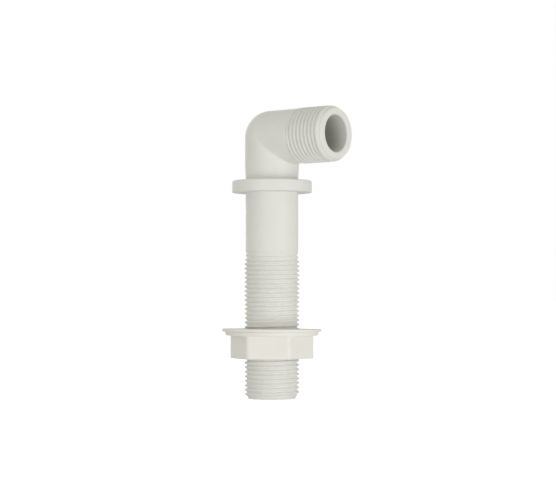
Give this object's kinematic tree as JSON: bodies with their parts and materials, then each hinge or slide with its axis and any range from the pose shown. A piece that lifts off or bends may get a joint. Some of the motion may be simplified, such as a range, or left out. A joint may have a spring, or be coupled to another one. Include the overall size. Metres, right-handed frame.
{
  "type": "thru hull fitting",
  "caption": "Elbowed plastic thru-hull fitting: threaded stem with a hull collar, threaded side leg, and a flanged hex back nut with a thin washer.",
  "frame": {"origin": "on the stem's axis in the plane of the collar's underside, the face that seats on the hull", "axes": "+Z along the stem towards the elbow, +X along the side leg, away from the stem"},
  "size_m": [0.039, 0.0296, 0.086],
  "materials": {
    "body_plastic": "satin white moulded plastic",
    "nut_plastic": "satin ivory-white moulded plastic",
    "washer_plastic": "thin ivory-white plastic sheet"
  },
  "bodies": {
    "fitting": {"elbow_body": "body_plastic"},
    "washer": {"washer": "washer_plastic"},
    "nut": {"back_nut": "nut_plastic"}
  },
  "joints": [
    {"name": "nut_travel", "type": "slide", "parent": "fitting", "child": "washer", "axis": [0, 0, 1], "range_m": [-0.018, 0.022]},
    {"name": "nut_turn", "type": "hinge", "parent": "washer", "child": "nut", "pos_m": [0, 0, -0.0454], "axis": [0, 0, 1], "range_deg": [-4850, 5927]}
  ],
  "couplings": [
    {"joint": "nut_turn", "follows": "nut_travel", "rad_per_m": 4700}
  ]
}
